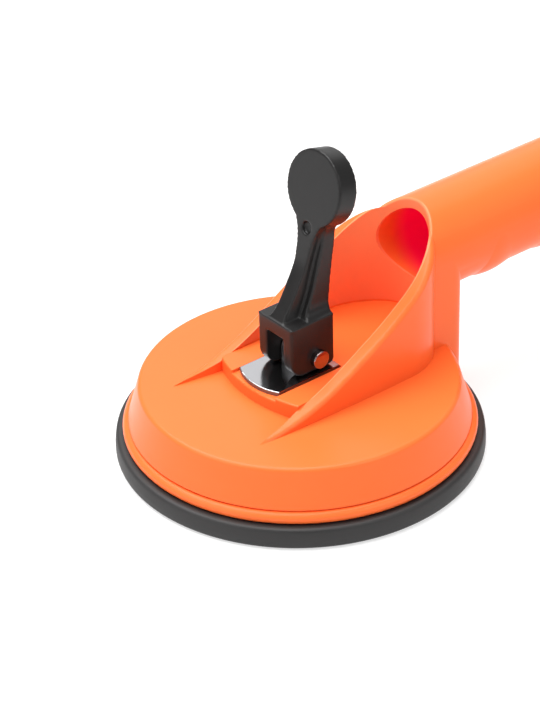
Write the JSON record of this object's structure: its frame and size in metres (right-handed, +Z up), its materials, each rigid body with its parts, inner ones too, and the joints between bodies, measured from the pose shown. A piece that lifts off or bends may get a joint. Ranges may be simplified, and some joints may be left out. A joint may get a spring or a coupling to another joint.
{
  "type": "suction lifter",
  "caption": "Tile lifter with a tubular grip between hooded suction cups, each pulled tight by a folding cam lever.",
  "frame": {"origin": "on the floor under the middle of the handle, midway between the cups", "axes": "+X along the handle from cup a to cup b, +Y across it, +Z up"},
  "size_m": [0.335, 0.118, 0.1014],
  "materials": {
    "body_plastic": "semi-gloss injection-moulded ABS",
    "pad_rubber": "matt",
    "plain_steel": "zinc plated",
    "stud_steel": "dark plated",
    "plate_steel": "bright rolled",
    "lever_plastic": "satin",
    "pin_steel": "polished",
    "clip_steel": "plated spring steel"
  },
  "bodies": {
    "frame": {"moulded_body": "body_plastic", "wear_plate_a": "plate_steel", "wear_plate_b": "plate_steel", "rubber_pad_a": "pad_rubber", "rubber_pad_b": "pad_rubber"},
    "puller_a": {"backing_plate_a": "plain_steel", "pull_stud_a": "stud_steel"},
    "puller_b": {"backing_plate_b": "plain_steel", "pull_stud_b": "stud_steel"},
    "lever_a": {"lever_a": "lever_plastic", "lever_pin_a": "pin_steel", "pin_clip_a": "clip_steel"},
    "lever_b": {"lever_b": "lever_plastic", "lever_pin_b": "pin_steel", "pin_clip_b": "clip_steel"}
  },
  "joints": [
    {"name": "pull_a", "type": "slide", "parent": "frame", "child": "puller_a", "axis": [0, 0, 1], "range_m": [0, 0.0071]},
    {"name": "pull_b", "type": "slide", "parent": "frame", "child": "puller_b", "axis": [0, 0, 1], "range_m": [0, 0.0071]},
    {"name": "lever_a_fold", "type": "hinge", "parent": "puller_a", "child": "lever_a", "pos_m": [-0.1075, 0, 0.0344], "axis": [0, -1, 0], "range_deg": [0, 90]},
    {"name": "lever_b_fold", "type": "hinge", "parent": "puller_b", "child": "lever_b", "pos_m": [0.1075, 0, 0.0344], "axis": [0, 1, 0], "range_deg": [0, 90]}
  ],
  "couplings": [
    {"joint": "pull_a", "follows": "lever_a_fold", "m_per_rad": 0.0045},
    {"joint": "pull_b", "follows": "lever_b_fold", "m_per_rad": 0.0045}
  ]
}
